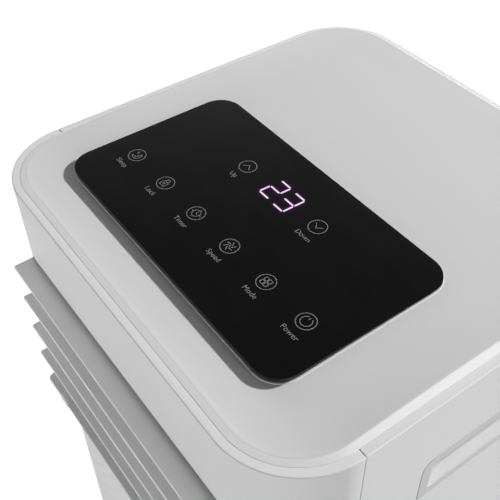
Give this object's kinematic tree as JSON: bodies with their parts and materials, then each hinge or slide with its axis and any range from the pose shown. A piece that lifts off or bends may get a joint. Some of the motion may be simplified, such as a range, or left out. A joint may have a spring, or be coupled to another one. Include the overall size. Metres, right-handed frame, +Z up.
{
  "type": "evaporative cooler",
  "caption": "Floor-standing evaporative cooler on casters: dished top with touch panel, front louvres, swing vanes, fan, wet pad cassette and slide-out water tank.",
  "frame": {"origin": "on the floor under the middle of the body", "axes": "+Z up, -Y is the front with the louvres, +X is to the right seen from the front"},
  "size_m": [0.33, 0.3541, 0.7],
  "materials": {
    "white": "satin moulded",
    "grey": "moulded",
    "dark": "satin",
    "black_glass": "polished",
    "steel": "brushed",
    "clear": "clear",
    "pad": "fibrous",
    "rubber": "matt",
    "tyre_grey": "matt",
    "pcb": "solder mask",
    "ice": "smooth",
    "hose": "smooth"
  },
  "bodies": {
    "body": {"base_tray": "white", "front_shell": "white", "lower_front_panel": "white", "rear_shell": "white", "top_cover": "white", "outlet_frame": "white", "handle_left": "white", "handle_right": "white", "cord_hook_left": "white", "cord_hook_right": "white", "air_duct": "grey", "scroll_front": "grey", "scroll_rear": "grey", "water_tray": "grey", "drip_tray": "grey", "power_box": "grey", "control_base": "dark", "pump": "dark", "control_glass": "black_glass", "control_board": "pcb", "fan_motor": "steel", "vane_motor": "steel", "power_cord": "rubber", "power_plug": "rubber", "supply_hose": "hose"},
    "fan": {"blower_wheel": "dark", "fan_shaft": "steel"},
    "cassette": {"rear_grille": "white", "dust_filter": "grey", "pad_frame": "grey", "cooling_pad": "pad"},
    "tank": {"water_tank": "clear", "tank_face": "white", "level_window": "clear", "tank_valve": "grey", "ice_pack": "ice"},
    "float": {"float": "dark"},
    "drain_plug": {"drain_plug": "grey"},
    "louvre_link": {"louvre_link": "grey"},
    "vane_link": {"vane_link": "grey"},
    "louvre_1": {"louvre_1": "white"},
    "vane_1": {"vane_1": "white"},
    "louvre_2": {"louvre_2": "white"},
    "vane_2": {"vane_2": "white"},
    "louvre_3": {"louvre_3": "white"},
    "vane_3": {"vane_3": "white"},
    "louvre_4": {"louvre_4": "white"},
    "vane_4": {"vane_4": "white"},
    "louvre_5": {"louvre_5": "white"},
    "vane_5": {"vane_5": "white"},
    "caster_fork_front_left": {"caster_fork_front_left": "grey"},
    "caster_wheel_front_left": {"caster_wheel_front_left": "tyre_grey"},
    "caster_fork_front_right": {"caster_fork_front_right": "grey"},
    "caster_wheel_front_right": {"caster_wheel_front_right": "tyre_grey"},
    "caster_fork_rear_left": {"caster_fork_rear_left": "grey"},
    "caster_wheel_rear_left": {"caster_wheel_rear_left": "tyre_grey"},
    "caster_fork_rear_right": {"caster_fork_rear_right": "grey"},
    "caster_wheel_rear_right": {"caster_wheel_rear_right": "tyre_grey"}
  },
  "joints": [
    {"name": "louvre_1_tilt", "type": "hinge", "parent": "body", "child": "louvre_1", "pos_m": [0, -0.15, 0.6292], "axis": [1, 0, 0], "range_deg": [-15, 80]},
    {"name": "louvre_2_tilt", "type": "hinge", "parent": "body", "child": "louvre_2", "pos_m": [0, -0.15, 0.5972], "axis": [1, 0, 0], "range_deg": [-15, 80]},
    {"name": "louvre_3_tilt", "type": "hinge", "parent": "body", "child": "louvre_3", "pos_m": [0, -0.15, 0.5652], "axis": [1, 0, 0], "range_deg": [-15, 80]},
    {"name": "louvre_4_tilt", "type": "hinge", "parent": "body", "child": "louvre_4", "pos_m": [0, -0.15, 0.5332], "axis": [1, 0, 0], "range_deg": [-15, 80]},
    {"name": "louvre_5_tilt", "type": "hinge", "parent": "body", "child": "louvre_5", "pos_m": [0, -0.15, 0.5012], "axis": [1, 0, 0], "range_deg": [-15, 80]},
    {"name": "louvre_link_pin", "type": "hinge", "parent": "louvre_1", "child": "louvre_link", "pos_m": [-0.1319, -0.138, 0.6292], "axis": [1, 0, 0], "range_deg": [-80, 15]},
    {"name": "vane_1_swing", "type": "hinge", "parent": "body", "child": "vane_1", "pos_m": [-0.088, -0.122, 0.557], "axis": [0, 0, 1], "range_deg": [-35, 35]},
    {"name": "vane_2_swing", "type": "hinge", "parent": "body", "child": "vane_2", "pos_m": [-0.044, -0.122, 0.557], "axis": [0, 0, 1], "range_deg": [-35, 35]},
    {"name": "vane_3_swing", "type": "hinge", "parent": "body", "child": "vane_3", "pos_m": [0, -0.122, 0.557], "axis": [0, 0, 1], "range_deg": [-35, 35]},
    {"name": "vane_4_swing", "type": "hinge", "parent": "body", "child": "vane_4", "pos_m": [0.044, -0.122, 0.557], "axis": [0, 0, 1], "range_deg": [-35, 35]},
    {"name": "vane_5_swing", "type": "hinge", "parent": "body", "child": "vane_5", "pos_m": [0.088, -0.122, 0.557], "axis": [0, 0, 1], "range_deg": [-35, 35]},
    {"name": "vane_link_pin", "type": "hinge", "parent": "vane_3", "child": "vane_link", "pos_m": [0, -0.11, 0.501], "axis": [0, 0, 1], "range_deg": [-35, 35]},
    {"name": "fan_spin", "type": "hinge", "parent": "body", "child": "fan", "pos_m": [0, -0.06, 0.345], "axis": [0, 1, 0], "continuous": true},
    {"name": "cassette_pull", "type": "slide", "parent": "body", "child": "cassette", "axis": [0, 1, 0], "range_m": [0, 0.06]},
    {"name": "tank_slide", "type": "slide", "parent": "body", "child": "tank", "axis": [0, 1, 0], "range_m": [0, 0.16]},
    {"name": "float_rise", "type": "slide", "parent": "tank", "child": "float", "axis": [0, 0, 1], "range_m": [0, 0.09]},
    {"name": "drain_plug_pull", "type": "slide", "parent": "tank", "child": "drain_plug", "axis": [0, 1, 0], "range_m": [0, 0.04]},
    {"name": "caster_swivel_front_left", "type": "hinge", "parent": "body", "child": "caster_fork_front_left", "pos_m": [-0.118, -0.115, 0.05], "axis": [0, 0, 1], "continuous": true},
    {"name": "caster_roll_front_left", "type": "hinge", "parent": "caster_fork_front_left", "child": "caster_wheel_front_left", "pos_m": [-0.118, -0.102, 0.018], "axis": [1, 0, 0], "continuous": true},
    {"name": "caster_swivel_front_right", "type": "hinge", "parent": "body", "child": "caster_fork_front_right", "pos_m": [0.118, -0.115, 0.05], "axis": [0, 0, 1], "continuous": true},
    {"name": "caster_roll_front_right", "type": "hinge", "parent": "caster_fork_front_right", "child": "caster_wheel_front_right", "pos_m": [0.118, -0.102, 0.018], "axis": [1, 0, 0], "continuous": true},
    {"name": "caster_swivel_rear_left", "type": "hinge", "parent": "body", "child": "caster_fork_rear_left", "pos_m": [-0.118, 0.115, 0.05], "axis": [0, 0, 1], "continuous": true},
    {"name": "caster_roll_rear_left", "type": "hinge", "parent": "caster_fork_rear_left", "child": "caster_wheel_rear_left", "pos_m": [-0.118, 0.128, 0.018], "axis": [1, 0, 0], "continuous": true},
    {"name": "caster_swivel_rear_right", "type": "hinge", "parent": "body", "child": "caster_fork_rear_right", "pos_m": [0.118, 0.115, 0.05], "axis": [0, 0, 1], "continuous": true},
    {"name": "caster_roll_rear_right", "type": "hinge", "parent": "caster_fork_rear_right", "child": "caster_wheel_rear_right", "pos_m": [0.118, 0.128, 0.018], "axis": [1, 0, 0], "continuous": true}
  ],
  "couplings": [
    {"joint": "louvre_2_tilt", "follows": "louvre_1_tilt", "ratio": 1},
    {"joint": "louvre_3_tilt", "follows": "louvre_1_tilt", "ratio": 1},
    {"joint": "louvre_4_tilt", "follows": "louvre_1_tilt", "ratio": 1},
    {"joint": "louvre_5_tilt", "follows": "louvre_1_tilt", "ratio": 1},
    {"joint": "louvre_link_pin", "follows": "louvre_1_tilt", "ratio": -1},
    {"joint": "vane_1_swing", "follows": "vane_3_swing", "ratio": 1},
    {"joint": "vane_2_swing", "follows": "vane_3_swing", "ratio": 1},
    {"joint": "vane_4_swing", "follows": "vane_3_swing", "ratio": 1},
    {"joint": "vane_5_swing", "follows": "vane_3_swing", "ratio": 1},
    {"joint": "vane_link_pin", "follows": "vane_3_swing", "ratio": -1}
  ]
}
